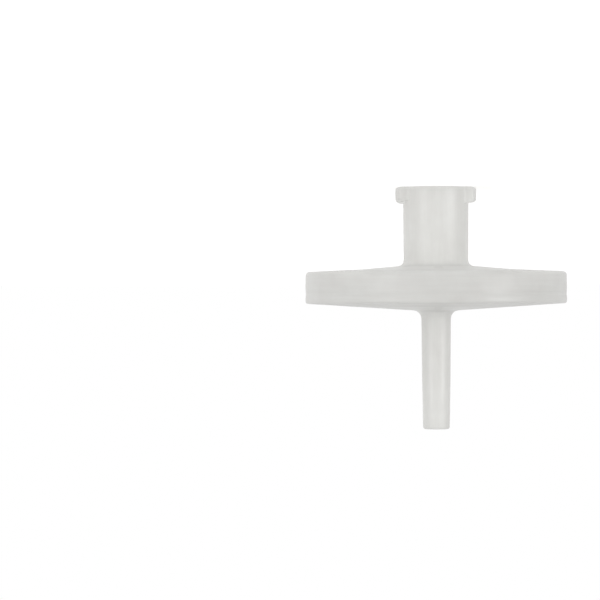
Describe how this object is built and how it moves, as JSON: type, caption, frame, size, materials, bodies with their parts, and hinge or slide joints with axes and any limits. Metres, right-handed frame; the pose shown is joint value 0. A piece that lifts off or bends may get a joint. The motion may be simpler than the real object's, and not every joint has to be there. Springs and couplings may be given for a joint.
{
  "type": "syringe filter",
  "caption": "Disc-shaped syringe filter: a shallow round housing with a luer-lock hub on the inlet side and a slim tapered outlet stem on the other.",
  "frame": {"origin": "centre of the inlet mouth's face, on which the filter stands", "axes": "+Z along the flow, from the inlet mouth to the outlet tip; the two lugs lie on the X axis"},
  "size_m": [0.0252, 0.0252, 0.0233],
  "materials": {
    "housing": "natural translucent polypropylene, satin as moulded",
    "membrane": "matt white filter membrane"
  },
  "bodies": {
    "root": {"inlet_housing": "housing", "membrane": "membrane", "outlet_housing": "housing"}
  },
  "joints": []
}
